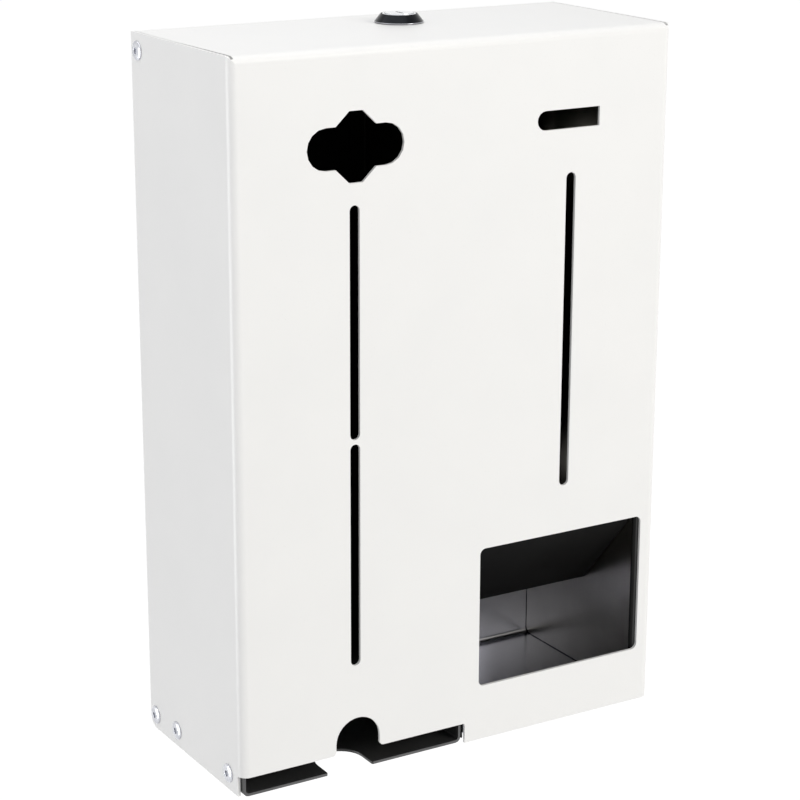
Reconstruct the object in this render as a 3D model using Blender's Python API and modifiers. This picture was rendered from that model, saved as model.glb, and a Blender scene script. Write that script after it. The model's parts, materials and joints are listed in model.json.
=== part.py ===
"""Wall dispenser for sanitary pads and tampons, folded from sheet steel.

A white cover, folded from one sheet, carries the two product hoppers and their black
trays. It swings forward about two pivot screws low on its sides, away from a black back
plate that hangs on the wall. A cam lock in the cover's top turns a cam behind the lip
of a bracket on the back plate.

Metres, +Z up, front towards -Y. The origin is the centre of the underside.
"""
import math

import bmesh
import bpy
from mathutils import Matrix, Vector

# Overall size, sheets and clearances
WIDTH = 0.245
DEPTH = 0.104
HEIGHT = 0.360
COVER_SHEET = 0.0015
LINER_SHEET = 0.0015
COVER_BEND = 0.0046
COVER_BEND_STEPS = 6
LINER_BEND = 0.0016
SEAT_GAP = 0.0003
WALL_STANDOFF = 0.0008
OVERRUN = 0.002
WELD_DISTANCE = 0.00001
BEND_STEPS = 3
ARC_STEPS = 8
HALF_ROUND_STEPS = 16
ROUND_STEPS = 20
SMALL_ROUND_STEPS = 12
SMOOTH_DEGREES = 35
FOLD_DEGREES = 20
SQUARE_TURN = 45

# Sight slits, signs and window in the cover's front, from its edges
PAD_SLIT_FROM_LEFT = 0.0637
PAD_SLIT_WIDTH = 0.0054
PAD_SLIT_LOW = 0.0568
PAD_SLIT_BELOW_TOP = 0.0729
PAD_SLIT_BRIDGE = 0.0022
TAMPON_SLIT_FROM_RIGHT = 0.059
TAMPON_SLIT_WIDTH = 0.0056
TAMPON_SLIT_LOW = 0.1294
TAMPON_SLIT_BELOW_TOP = 0.069
PAD_SIGN_FROM_LEFT = 0.0646
PAD_SIGN_BELOW_TOP = 0.0456
PAD_SIGN_WIDTH = 0.0519
PAD_SIGN_BODY = 0.020
PAD_SIGN_WINGSPAN = 0.0336
PAD_SIGN_WING_TIP = 0.0072
PAD_SIGN_WING_ROOT = 0.0216
TAMPON_SIGN_FROM_RIGHT = 0.0428
TAMPON_SIGN_LENGTH = 0.0366
TAMPON_SIGN_BELOW_TOP = 0.0425
TAMPON_SIGN_BODY = 0.0096
WINDOW_FROM_LEFT = 0.136
WINDOW_FROM_RIGHT = 0.0091
WINDOW_LOW = 0.0294
WINDOW_HIGH = 0.104
WINDOW_CORNER = 0.0032

# Mouth under the pad hopper, with its finger arch, and the cover's corners and seams
MOUTH_HEIGHT = 0.0108
MOUTH_END_FROM_LEFT = 0.1279
MOUTH_CORNER = 0.001
ARCH_FROM_LEFT = 0.065
ARCH_RADIUS = 0.01245
ARCH_TOP = 0.0288
ARCH_FOOT_RADIUS = 0.0022
REAR_CORNER_RADIUS = 0.0064
SEAM_FRONT_GAP = 0.0014
SEAM_REAR_GAP = 0.0004
SEAM_TAPER_LENGTH = 0.060

# Side screws: depth from the wall side or the front, height, and the screw itself
PIVOT_FROM_WALL = 0.0072
PIVOT_HEIGHT = 0.0076
TRAY_SCREW_FROM_FRONT = 0.0144
TRAY_SCREW_FROM_WALL = 0.0322
TRAY_SCREW_HEIGHT = 0.0086
CORNER_SCREW_FROM_WALL = 0.0078
CORNER_SCREW_BELOW_TOP = 0.0085
SCREW_HEAD_RADIUS = 0.00475
SCREW_HEAD_HEIGHT = 0.0016
SCREW_CROWN_RADIUS = 0.0025
SCREW_CROWN_SHARE = 0.55
SCREW_RADIUS = 0.0025
SCREW_HOLE_GAP = 0.0003
SCREW_SOCKET_ACROSS = 0.003
SCREW_SOCKET_DEPTH = 0.001
SCREW_END = 0.0005
NUT_ACROSS = 0.008
NUT_HEIGHT = 0.004

# Back plate on the wall and its pivot washers
PIVOT_WASHER_THICKNESS = 0.0008
PIVOT_WASHER_RADIUS = 0.005
PLATE_FLANGE_DEPTH = 0.022
PLATE_FLANGE_BELOW_TOP = 0.030
PLATE_TOP_GAP = 0.0006
PLATE_FOOT_WIDTH = 0.020
PLATE_FOOT_HEIGHT = 0.0055
KEYHOLE_HEAD_RADIUS = 0.005
KEYHOLE_SLOT_RADIUS = 0.0026
KEYHOLE_SLOT_LENGTH = 0.010
KEYHOLE_SPACING_X = 0.150
KEYHOLE_LOW = 0.100
KEYHOLE_SPACING_Z = 0.180

# Pad tray
TRAY_FLANGE_HEIGHT = 0.016
TRAY_FLANGE_SETBACK = 0.0006
PAD_TRAY_SETBACK = 0.0022
PAD_TRAY_BEND = 0.00225
TRAY_REAR_FROM_WALL = 0.0074
NOTCH_FROM_LEFT = 0.0617
NOTCH_RADIUS = 0.01265
NOTCH_DEPTH = 0.0232
NOTCH_LIP_RADIUS = 0.001
PIVOT_RELIEF_REACH = 0.0178
PIVOT_RELIEF_SIDE_GAP = 0.001
PIVOT_RELIEF_HEIGHT = 0.014

# Divider and hoppers
DIVIDER_LOW = 0.002
HOPPER_BELOW_TOP = 0.038
DIVIDER_FLANGE = 0.009
DIVIDER_FLANGE_LOW = 0.020
DIVIDER_REAR_FROM_WALL = 0.0035
DIVIDER_CORNER_RADIUS = 0.006
RIVET_RADIUS = 0.0016
RIVET_HEAD_RADIUS = 0.0032
RIVET_HEAD_HEIGHT = 0.0008
RIVET_HEIGHT = 0.0105
RIVET_FROM_FRONT = 0.028
RIVET_FROM_WALL = 0.032

# Tampon tray, its side wall and the ramp above it
TAMPON_FLOOR = 0.004
TAMPON_BACK_FROM_WALL = 0.0037
TAMPON_BACK_TOP = 0.075
TAMPON_BACK_BEND = 0.003
TAMPON_BACK_END_GAP = 0.0011
SIDE_WALL_FROM_RIGHT = 0.0115
SIDE_WALL_FLANGE = 0.0058
RAMP_BEND_ABOVE_WINDOW = 0.002
RAMP_FLANGE_HEIGHT = 0.014
RAMP_LOW_HEIGHT = 0.0565
RAMP_LOW_FROM_FRONT = 0.0455
RAMP_TAB_HEIGHT = 0.012
RAMP_RIVET_RISE = 0.0072
RAMP_TAB_SHARES = (0.25, 0.75)
RAMP_RIVET_SHARES = (0.35, 0.65)

# Corner brackets behind the top rear screws
BRACKET_LENGTH = 0.015
BRACKET_LEG = 0.019
BRACKET_SHELF = 0.016

# Cam lock in the cover's top
LOCK_FROM_LEFT = 0.1286
LOCK_FROM_WALL = 0.0355
COLLAR_BASE_RADIUS = 0.01225
COLLAR_TOP_RADIUS = 0.0092
COLLAR_HEIGHT = 0.0042
COLLAR_BORE_RADIUS = 0.0088
COLLAR_LEDGE = 0.001
BARREL_RADIUS = 0.0079
BARREL_LENGTH = 0.0164
BARREL_HEAD_RADIUS = 0.0085
BARREL_HEAD_HEIGHT = 0.0030
PLUG_RADIUS = 0.006
PLUG_HEAD_RADIUS = 0.0071
PLUG_HEAD_HEIGHT = 0.0018
PLUG_STUB_ACROSS = 0.007
KEYWAY_WIDTH = 0.0012
KEYWAY_LENGTH = 0.0072
KEYWAY_DEPTH = 0.003
LOCK_WASHER_RADIUS = 0.0115
LOCK_WASHER_THICKNESS = 0.0008
LOCK_NUT_ACROSS = 0.020
LOCK_NUT_HEIGHT = 0.0035
CAM_LENGTH = 0.024
CAM_WIDTH = 0.013
CAM_THICKNESS = 0.002
CAM_WASHER_RADIUS = 0.0052
CAM_WASHER_THICKNESS = 0.0008
CAM_SCREW_RADIUS = 0.002
CAM_SCREW_HEAD_RADIUS = 0.004
CAM_SCREW_HEAD_HEIGHT = 0.0024
CAM_SCREW_DEPTH = 0.006

# Strike bracket that the cam hooks behind
STRIKE_WIDTH = 0.018
STRIKE_FROM_LOCK = 0.015
STRIKE_BELOW_CAM = 0.006
STRIKE_LEG = 0.018
STRIKE_LIP = 0.013
STRIKE_PLAY = 0.0008
STRIKE_RIVET_SPACING = 0.009

# Places that follow from those sizes
LEFT = -WIDTH / 2
RIGHT = WIDTH / 2
FRONT = -DEPTH / 2
WALL = DEPTH / 2
INSIDE_LEFT = LEFT + COVER_SHEET
INSIDE_RIGHT = RIGHT - COVER_SHEET
INSIDE_FRONT = FRONT + COVER_SHEET
COVER_REAR = WALL - WALL_STANDOFF
UNDER_TOP = HEIGHT - COVER_SHEET
PIVOT_Y = WALL - PIVOT_FROM_WALL
HOPPER_TOP = HEIGHT - HOPPER_BELOW_TOP
DIVIDER_X = LEFT + MOUTH_END_FROM_LEFT
TRAY_SCREW_Y = (FRONT + TRAY_SCREW_FROM_FRONT, WALL - TRAY_SCREW_FROM_WALL)
CORNER_SCREW_Y = WALL - CORNER_SCREW_FROM_WALL
CORNER_SCREW_Z = HEIGHT - CORNER_SCREW_BELOW_TOP
LOCK_X = LEFT + LOCK_FROM_LEFT
LOCK_Y = WALL - LOCK_FROM_WALL
PLATE_FACE = WALL - LINER_SHEET
PLATE_FLANGE_INSET = SEAT_GAP + PIVOT_WASHER_THICKNESS + SEAT_GAP
BARREL_END = HEIGHT + SEAT_GAP + COLLAR_LEDGE + SEAT_GAP - COVER_SHEET - BARREL_LENGTH
CAM_TOP = BARREL_END - SEAT_GAP
CAM_UNDER = CAM_TOP - CAM_THICKNESS

WHITE = ("white_powder_coat", (0.86, 0.86, 0.85, 1.0), 0.45, 0.0)
BLACK = ("black_powder_coat", (0.02, 0.02, 0.022, 1.0), 0.35, 0.0)
ZINC = ("bright_zinc", (0.62, 0.63, 0.66, 1.0), 0.3, 1.0)
CHROME = ("chrome_plate", (0.75, 0.76, 0.78, 1.0), 0.12, 1.0)
NYLON = ("natural_nylon", (0.75, 0.74, 0.70, 1.0), 0.5, 0.0)


def clear_scene():
    for old in list(bpy.data.objects):
        bpy.data.objects.remove(old, do_unlink=True)


def make_collection(name):
    collection = bpy.data.collections.new(name)
    bpy.context.scene.collection.children.link(collection)
    return collection


def make_material(node, finish):
    name, colour, roughness, metallic = finish
    material = bpy.data.materials.new(node + "_" + name)
    material.use_nodes = True
    material.diffuse_color = colour
    shader = material.node_tree.nodes["Principled BSDF"]
    shader.inputs["Base Color"].default_value = colour
    shader.inputs["Roughness"].default_value = roughness
    shader.inputs["Metallic"].default_value = metallic
    return material


def add_object(name, mesh, collection):
    piece = bpy.data.objects.new(name, mesh)
    collection.objects.link(piece)
    return piece


def finish_piece(piece, finish):
    """Gives a sub-part its own material and smooth shading with sharp folds."""
    piece.data.materials.clear()
    piece.data.materials.append(make_material(piece.name, finish))
    piece.data.shade_smooth()
    piece.data.set_sharp_from_angle(angle=math.radians(SMOOTH_DEGREES))
    return piece


def hide_tool(piece):
    piece.hide_render = True
    piece.display_type = "WIRE"
    return piece


def bake(piece):
    """The evaluated mesh of an object, in world space."""
    bpy.context.view_layer.update()
    graph = bpy.context.evaluated_depsgraph_get()
    mesh = bpy.data.meshes.new_from_object(piece.evaluated_get(graph))
    mesh.transform(piece.matrix_world)
    return mesh


def box(name, low, high, collection):
    """An axis-aligned block between two corners."""
    shape = bmesh.new()
    bmesh.ops.create_cube(shape, size=1.0)
    size = Vector(high) - Vector(low)
    middle = (Vector(high) + Vector(low)) / 2
    bmesh.ops.transform(shape, matrix=Matrix.Translation(middle) @ Matrix.Diagonal(size).to_4x4(),
                        verts=shape.verts)
    mesh = bpy.data.meshes.new(name)
    shape.to_mesh(mesh)
    shape.free()
    return add_object(name, mesh, collection)


def along(axis):
    """Turns local XYZ so that local Z runs along a row axis, with the outline's two
    coordinates on the other two axes in X, Y, Z order."""
    if axis == "X":
        return Matrix(((0, 0, 1, 0), (1, 0, 0, 0), (0, 1, 0, 0), (0, 0, 0, 1)))
    if axis == "Y":
        return Matrix(((1, 0, 0, 0), (0, 0, -1, 0), (0, 1, 0, 0), (0, 0, 0, 1)))
    return Matrix.Identity(4)


def shift_along(axis, distance):
    sides = {"X": (distance, 0, 0), "Y": (0, distance, 0), "Z": (0, 0, distance)}
    return Matrix.Translation(sides[axis])


def outline_solid(name, points, axis, start, end, collection):
    """A flat outline, drawn as a filled 2D curve and given a thickness along an axis."""
    curve = bpy.data.curves.new(name, "CURVE")
    curve.dimensions = "2D"
    curve.fill_mode = "BOTH"
    curve.extrude = (end - start) / 2
    spline = curve.splines.new("POLY")
    spline.points.add(len(points) - 1)
    for target, (across, up) in zip(spline.points, points):
        target.co = (across, up, 0, 1)
    spline.use_cyclic_u = True
    drawn = bpy.data.objects.new(name + "_outline", curve)
    collection.objects.link(drawn)
    drawn.matrix_world = shift_along(axis, (start + end) / 2) @ along(axis)
    mesh = bake(drawn)
    bpy.data.objects.remove(drawn, do_unlink=True)
    welded = bmesh.new()
    welded.from_mesh(mesh)
    bmesh.ops.remove_doubles(welded, verts=welded.verts, dist=WELD_DISTANCE)
    bmesh.ops.recalc_face_normals(welded, faces=welded.faces)
    welded.to_mesh(mesh)
    welded.free()
    return add_object(name, mesh, collection)


def arc(centre, radius, start_degrees, end_degrees, steps=ARC_STEPS):
    points = []
    for step in range(steps + 1):
        angle = math.radians(start_degrees + (end_degrees - start_degrees) * step / steps)
        points.append((centre[0] + radius * math.cos(angle), centre[1] + radius * math.sin(angle)))
    return points


def rounded_rectangle(low, high, radius):
    x0, z0 = low
    x1, z1 = high
    return (arc((x1 - radius, z0 + radius), radius, -90, 0)
            + arc((x1 - radius, z1 - radius), radius, 0, 90)
            + arc((x0 + radius, z1 - radius), radius, 90, 180)
            + arc((x0 + radius, z0 + radius), radius, 180, 270))


def slot_outline(middle, width, low, high):
    """An upright slot with round ends."""
    radius = width / 2
    return (arc((middle, low + radius), radius, 180, 360)
            + arc((middle, high - radius), radius, 0, 180))


def strip(name, path, axis, start, end, bend, collection, sheet=LINER_SHEET):
    """A folded strip of sheet: the centre line of its folds, drawn out along an axis,
    with rounded bends, and given its wall to both sides."""
    shape = bmesh.new()
    turn = along(axis)
    ends = (shift_along(axis, start) @ turn, shift_along(axis, end) @ turn)
    rows = [[shape.verts.new(place @ Vector((a, b, 0))) for a, b in path] for place in ends]
    for index in range(len(path) - 1):
        shape.faces.new((rows[0][index], rows[0][index + 1], rows[1][index + 1], rows[1][index]))
    mesh = bpy.data.meshes.new(name)
    shape.to_mesh(mesh)
    shape.free()
    piece = add_object(name, mesh, collection)
    rounding = piece.modifiers.new("bends", "BEVEL")
    rounding.width = bend
    rounding.segments = BEND_STEPS
    rounding.limit_method = "ANGLE"
    rounding.angle_limit = math.radians(FOLD_DEGREES)
    return give_wall(piece, sheet)


def give_wall(piece, sheet, offset=0):
    """Gives an open surface the sheet's thickness, to both sides where the offset is 0."""
    wall = piece.modifiers.new("sheet", "SOLIDIFY")
    wall.thickness = sheet
    wall.offset = offset
    wall.use_even_offset = True
    return piece


def add_grid(shape, rows):
    """Joins rows of points, equally long, with faces."""
    grid = [[shape.verts.new(point) for point in row] for row in rows]
    for one, other in zip(grid, grid[1:]):
        for index in range(len(one) - 1):
            shape.faces.new((one[index], one[index + 1], other[index + 1], other[index]))


def boolean(piece, tool, operation="DIFFERENCE"):
    step = piece.modifiers.new(operation.lower() + "_" + tool.name, "BOOLEAN")
    step.operation = operation
    step.object = hide_tool(tool)
    step.solver = "EXACT"
    return piece


def cut_outline(piece, name, points, axis, start, end):
    return boolean(piece, outline_solid(name, points, axis, start, end, TOOLS))


def cut_box(piece, name, low, high):
    return boolean(piece, box(name, low, high, TOOLS))


def cut_round(piece, name, centre, radius, axis, start, end):
    """A round hole along an axis, at two coordinates on the other axes."""
    points = arc(centre, radius, 0, 360, SMALL_ROUND_STEPS)[:-1]
    return cut_outline(piece, name, points, axis, start, end)


def turned(name, profile, origin, direction, collection, closed=False, steps=ROUND_STEPS):
    """A turned piece: its outer side runs down the profile, from top to bottom."""
    shape = bmesh.new()
    points = [shape.verts.new((radius, 0, height)) for radius, height in profile]
    for above, below in zip(points, points[1:]):
        shape.edges.new((above, below))
    if closed:
        shape.edges.new((points[-1], points[0]))
    mesh = bpy.data.meshes.new(name)
    shape.to_mesh(mesh)
    shape.free()
    piece = add_object(name, mesh, collection)
    spin = piece.modifiers.new("turning", "SCREW")
    spin.axis = "Z"
    spin.angle = 2 * math.pi
    spin.steps = steps
    spin.render_steps = steps
    spin.use_merge_vertices = True
    spin.merge_threshold = WELD_DISTANCE
    piece.location = origin
    piece.rotation_mode = "QUATERNION"
    piece.rotation_quaternion = Vector((0, 0, 1)).rotation_difference(Vector(direction))
    return piece


def prism(name, sides, across_flats, height, origin, direction, turn_degrees, collection):
    """An upright prism on its centre, such as a hexagon bar end, across its flats."""
    shape = bmesh.new()
    radius = across_flats / 2 / math.cos(math.pi / sides)
    bmesh.ops.create_cone(shape, cap_ends=True, segments=sides, radius1=radius, radius2=radius,
                          depth=height)
    bmesh.ops.rotate(shape, verts=shape.verts, cent=(0, 0, 0),
                     matrix=Matrix.Rotation(math.radians(turn_degrees), 3, "Z"))
    bmesh.ops.translate(shape, verts=shape.verts, vec=(0, 0, height / 2))
    mesh = bpy.data.meshes.new(name)
    shape.to_mesh(mesh)
    shape.free()
    piece = add_object(name, mesh, collection)
    piece.location = origin
    piece.rotation_mode = "QUATERNION"
    piece.rotation_quaternion = Vector((0, 0, 1)).rotation_difference(Vector(direction))
    return piece


def hex_nut(name, face, direction, across, height, bore, collection):
    """A hexagon nut whose near face lies at a point and which runs along a direction."""
    nut = prism(name, 6, across, height, face, direction, 0, collection)
    start = Vector(face) - Vector(direction) * OVERRUN
    hole = prism(name + "_bore", SMALL_ROUND_STEPS, bore * 2, height + OVERRUN * 2, start,
                 direction, 0, TOOLS)
    return boolean(nut, hole)


def washer(name, face, direction, radius, thickness, bore):
    profile = ((bore, thickness), (radius, thickness), (radius, 0), (bore, 0))
    return turned(name, profile, face, direction, PARTS, closed=True)


def button_screw(name, seat, outward, shank):
    """A button head screw with a hexagon socket; its head sits on a point."""
    crown = SCREW_HEAD_HEIGHT * SCREW_CROWN_SHARE
    profile = ((0, SCREW_HEAD_HEIGHT), (SCREW_CROWN_RADIUS, SCREW_HEAD_HEIGHT),
               ((SCREW_CROWN_RADIUS + SCREW_HEAD_RADIUS) / 2, SCREW_HEAD_HEIGHT - crown / 2),
               (SCREW_HEAD_RADIUS, crown / 2), (SCREW_HEAD_RADIUS, 0), (SCREW_RADIUS, 0),
               (SCREW_RADIUS, -shank + SCREW_END), (SCREW_RADIUS - SCREW_END, -shank), (0, -shank))
    screw = turned(name, profile, seat, outward, PARTS)
    top = Vector(seat) + Vector(outward) * (SCREW_HEAD_HEIGHT - SCREW_SOCKET_DEPTH)
    socket = prism(name + "_socket", 6, SCREW_SOCKET_ACROSS, SCREW_SOCKET_DEPTH + OVERRUN, top,
                   outward, 0, TOOLS)
    return boolean(screw, socket)


def rivet(name, low_face, high_face, direction):
    """A blind rivet through a stack of sheets, between the stack's two faces."""
    low = Vector(low_face)
    grip = (Vector(high_face) - low).length
    rim = RIVET_HEAD_HEIGHT / 2
    top = grip + SEAT_GAP
    bottom = -SEAT_GAP
    shoulder = (RIVET_RADIUS + RIVET_HEAD_RADIUS) / 2
    profile = ((0, top + RIVET_HEAD_HEIGHT), (shoulder, top + RIVET_HEAD_HEIGHT),
               (RIVET_HEAD_RADIUS, top + rim), (RIVET_HEAD_RADIUS, top), (RIVET_RADIUS, top),
               (RIVET_RADIUS, bottom), (RIVET_HEAD_RADIUS, bottom),
               (RIVET_HEAD_RADIUS, bottom - rim), (shoulder, bottom - RIVET_HEAD_HEIGHT),
               (0, bottom - RIVET_HEAD_HEIGHT))
    return turned(name, profile, low, direction, PARTS, steps=SMALL_ROUND_STEPS)


def pad_sign_outline():
    """A winged pad: a bar with round ends, and a tapering wing above and below it."""
    x = LEFT + PAD_SIGN_FROM_LEFT
    z = HEIGHT - PAD_SIGN_BELOW_TOP
    radius = PAD_SIGN_BODY / 2
    reach = PAD_SIGN_WIDTH / 2 - radius
    root = PAD_SIGN_WING_ROOT / 2
    tip = PAD_SIGN_WING_TIP / 2
    half_span = PAD_SIGN_WINGSPAN / 2
    upper = [(x + root, z + radius), (x + tip, z + half_span), (x - tip, z + half_span),
             (x - root, z + radius)]
    lower = [(x - root, z - radius), (x - tip, z - half_span), (x + tip, z - half_span),
             (x + root, z - radius)]
    return (arc((x + reach, z), radius, -90, 90) + upper
            + arc((x - reach, z), radius, 90, 270) + lower)


def tampon_sign_outline():
    """A bar whose left end is round and whose right end is square."""
    radius = TAMPON_SIGN_BODY / 2
    x1 = RIGHT - TAMPON_SIGN_FROM_RIGHT
    x0 = x1 - TAMPON_SIGN_LENGTH
    z = HEIGHT - TAMPON_SIGN_BELOW_TOP
    return arc((x0 + radius, z), radius, 90, 270) + [(x1, z - radius), (x1, z + radius)]


def mouth_outline():
    """The low gap under the front, with a finger arch over the notch in the tray."""
    x = LEFT + ARCH_FROM_LEFT
    end = LEFT + MOUTH_END_FROM_LEFT
    left = LEFT - OVERRUN
    foot = ARCH_FOOT_RADIUS
    reach = ARCH_RADIUS + foot
    return ([(left, -OVERRUN), (end, -OVERRUN)]
            + arc((end - MOUTH_CORNER, MOUTH_HEIGHT - MOUTH_CORNER), MOUTH_CORNER, 0, 90)
            + arc((x + reach, MOUTH_HEIGHT + foot), foot, 270, 180)
            + arc((x, ARCH_TOP - ARCH_RADIUS), ARCH_RADIUS, 0, 180, HALF_ROUND_STEPS)
            + arc((x - reach, MOUTH_HEIGHT + foot), foot, 0, -90)
            + [(left, MOUTH_HEIGHT)])


def rear_corner_outline(rear, low, radius):
    """What a rounded lower rear corner takes off, in Y and Z."""
    return ([(rear - radius, low - OVERRUN), (rear + OVERRUN, low - OVERRUN),
             (rear + OVERRUN, low + radius)]
            + arc((rear - radius, low + radius), radius, 0, -90))


def cover_blank():
    """Front, sides and top as one open surface with its outer bends rounded."""
    shape = bmesh.new()
    bmesh.ops.create_cube(shape, size=1.0)
    size = Vector((WIDTH, COVER_REAR - FRONT, HEIGHT))
    middle = Vector((0, (COVER_REAR + FRONT) / 2, HEIGHT / 2))
    bmesh.ops.transform(shape, matrix=Matrix.Translation(middle) @ Matrix.Diagonal(size).to_4x4(),
                        verts=shape.verts)
    open_sides = [face for face in shape.faces if face.normal.y > 0.5 or face.normal.z < -0.5]
    bmesh.ops.delete(shape, geom=open_sides, context="FACES")
    bends = [edge for edge in shape.edges if is_cover_bend(edge)]
    bmesh.ops.bevel(shape, geom=bends, offset=COVER_BEND, offset_type="OFFSET",
                    segments=COVER_BEND_STEPS, profile=0.5, affect="EDGES",
                    clamp_overlap=True)
    mesh = bpy.data.meshes.new("cover_shell")
    shape.to_mesh(mesh)
    shape.free()
    return mesh


def is_cover_bend(edge):
    """True for the fold edges round the front panel."""
    near_front = all(vert.co.y < FRONT + SEAT_GAP for vert in edge.verts)
    return near_front and len(edge.link_faces) == 2


def seam_outline(side):
    """The open seam between the top and one side, wider at the front."""
    edge = side * (WIDTH / 2 - COVER_SHEET)
    start = FRONT + COVER_SHEET
    taper_end = start + SEAM_TAPER_LENGTH
    return [(edge, start), (edge - side * SEAM_FRONT_GAP, start),
            (edge - side * SEAM_REAR_GAP, taper_end),
            (edge - side * SEAM_REAR_GAP, COVER_REAR + OVERRUN), (edge, COVER_REAR + OVERRUN)]


def cover_shell():
    """The white cover, folded from one sheet and cut through before folding."""
    cover = add_object("cover_shell", cover_blank(), PARTS)
    give_wall(cover, COVER_SHEET, -1)
    through = (FRONT - OVERRUN, FRONT + COVER_BEND)
    pad_x = LEFT + PAD_SLIT_FROM_LEFT
    slit_top = HEIGHT - PAD_SLIT_BELOW_TOP
    bridge = (PAD_SLIT_LOW + slit_top) / 2
    half_bridge = PAD_SLIT_BRIDGE / 2
    cut_outline(cover, "pad_slit_lower",
                slot_outline(pad_x, PAD_SLIT_WIDTH, PAD_SLIT_LOW, bridge - half_bridge),
                "Y", *through)
    cut_outline(cover, "pad_slit_upper",
                slot_outline(pad_x, PAD_SLIT_WIDTH, bridge + half_bridge, slit_top),
                "Y", *through)
    cut_outline(cover, "tampon_slit",
                slot_outline(RIGHT - TAMPON_SLIT_FROM_RIGHT, TAMPON_SLIT_WIDTH, TAMPON_SLIT_LOW,
                             HEIGHT - TAMPON_SLIT_BELOW_TOP), "Y", *through)
    cut_outline(cover, "pad_sign", pad_sign_outline(), "Y", *through)
    cut_outline(cover, "tampon_sign", tampon_sign_outline(), "Y", *through)
    cut_outline(cover, "window",
                rounded_rectangle((LEFT + WINDOW_FROM_LEFT, WINDOW_LOW),
                                  (RIGHT - WINDOW_FROM_RIGHT, WINDOW_HIGH), WINDOW_CORNER),
                "Y", *through)
    cut_outline(cover, "mouth", mouth_outline(), "Y", *through)
    cut_outline(cover, "rear_corners",
                rear_corner_outline(COVER_REAR, 0, REAR_CORNER_RADIUS), "X",
                LEFT - OVERRUN, RIGHT + OVERRUN)
    for label, side in (("left", -1), ("right", 1)):
        cut_outline(cover, "seam_" + label, seam_outline(side), "Z",
                    UNDER_TOP - OVERRUN, HEIGHT + OVERRUN)
    hole = SCREW_RADIUS + SCREW_HOLE_GAP
    places = [(PIVOT_Y, PIVOT_HEIGHT), (CORNER_SCREW_Y, CORNER_SCREW_Z)]
    places += [(y, TRAY_SCREW_HEIGHT) for y in TRAY_SCREW_Y]
    for index, place in enumerate(places):
        cut_round(cover, "side_hole_%d" % index, place, hole, "X",
                  LEFT - OVERRUN, RIGHT + OVERRUN)
    cut_round(cover, "lock_hole", (LOCK_X, LOCK_Y), BARREL_RADIUS + SEAT_GAP, "Z",
              UNDER_TOP - OVERRUN, HEIGHT + OVERRUN)
    return finish_piece(cover, WHITE)


def back_plate():
    """The black plate on the wall, with side flanges that carry the pivot screws."""
    half = LINER_SHEET / 2
    left = INSIDE_LEFT + PLATE_FLANGE_INSET + half
    right = INSIDE_RIGHT - PLATE_FLANGE_INSET - half
    front = WALL - PLATE_FLANGE_DEPTH
    top = UNDER_TOP - PLATE_TOP_GAP
    path = [(left, front), (left, WALL - half), (right, WALL - half), (right, front)]
    plate = strip("back_plate", path, "Z", 0, top, LINER_BEND, PARTS)
    shoulder = left + half + LINER_BEND
    for label, low_x, high_x in (("left", LEFT, shoulder), ("right", -shoulder, RIGHT)):
        cut_box(plate, "plate_shoulder_" + label,
                (low_x, front - OVERRUN, HEIGHT - PLATE_FLANGE_BELOW_TOP),
                (high_x, WALL + OVERRUN, top + OVERRUN))
    cut_box(plate, "plate_underside", (LEFT + PLATE_FOOT_WIDTH, front, -OVERRUN),
            (RIGHT - PLATE_FOOT_WIDTH, WALL + OVERRUN, PLATE_FOOT_HEIGHT))
    for row, level in (("lower", KEYHOLE_LOW), ("upper", KEYHOLE_LOW + KEYHOLE_SPACING_Z)):
        for label, side in (("left", -1), ("right", 1)):
            keyhole(plate, "keyhole_%s_%s" % (row, label), side * KEYHOLE_SPACING_X / 2, level)
    cut_round(plate, "plate_pivot_holes", (PIVOT_Y, PIVOT_HEIGHT), SCREW_RADIUS + SCREW_HOLE_GAP,
              "X", LEFT, RIGHT)
    for index, x in enumerate(strike_rivet_places()):
        cut_round(plate, "plate_rivet_hole_%d" % index, (x, strike_rivet_height()),
                  RIVET_RADIUS + SEAT_GAP, "Y", PLATE_FACE - OVERRUN, WALL + OVERRUN)
    return finish_piece(plate, BLACK)


def keyhole(plate, name, x, level):
    """A round hole for a wall screw's head, with a narrow slot above it."""
    slot_top = level + KEYHOLE_SLOT_LENGTH
    neck = math.sqrt(KEYHOLE_HEAD_RADIUS ** 2 - KEYHOLE_SLOT_RADIUS ** 2)
    head_angle = math.degrees(math.atan2(neck, KEYHOLE_SLOT_RADIUS))
    points = (arc((x, slot_top), KEYHOLE_SLOT_RADIUS, 0, 180)
              + arc((x, level), KEYHOLE_HEAD_RADIUS, 180 - head_angle, 360 + head_angle,
                    HALF_ROUND_STEPS))
    cut_outline(plate, name, points, "Y", PLATE_FACE - OVERRUN, WALL + OVERRUN)


def strike_arm_height():
    """The top face of the strike bracket's arm, below the cam."""
    return CAM_UNDER - STRIKE_BELOW_CAM


def strike_rivet_places():
    middle = LOCK_X + STRIKE_FROM_LOCK + STRIKE_WIDTH / 2
    return (middle - STRIKE_RIVET_SPACING / 2, middle + STRIKE_RIVET_SPACING / 2)


def strike_rivet_height():
    return strike_arm_height() + STRIKE_LEG / 2


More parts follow.
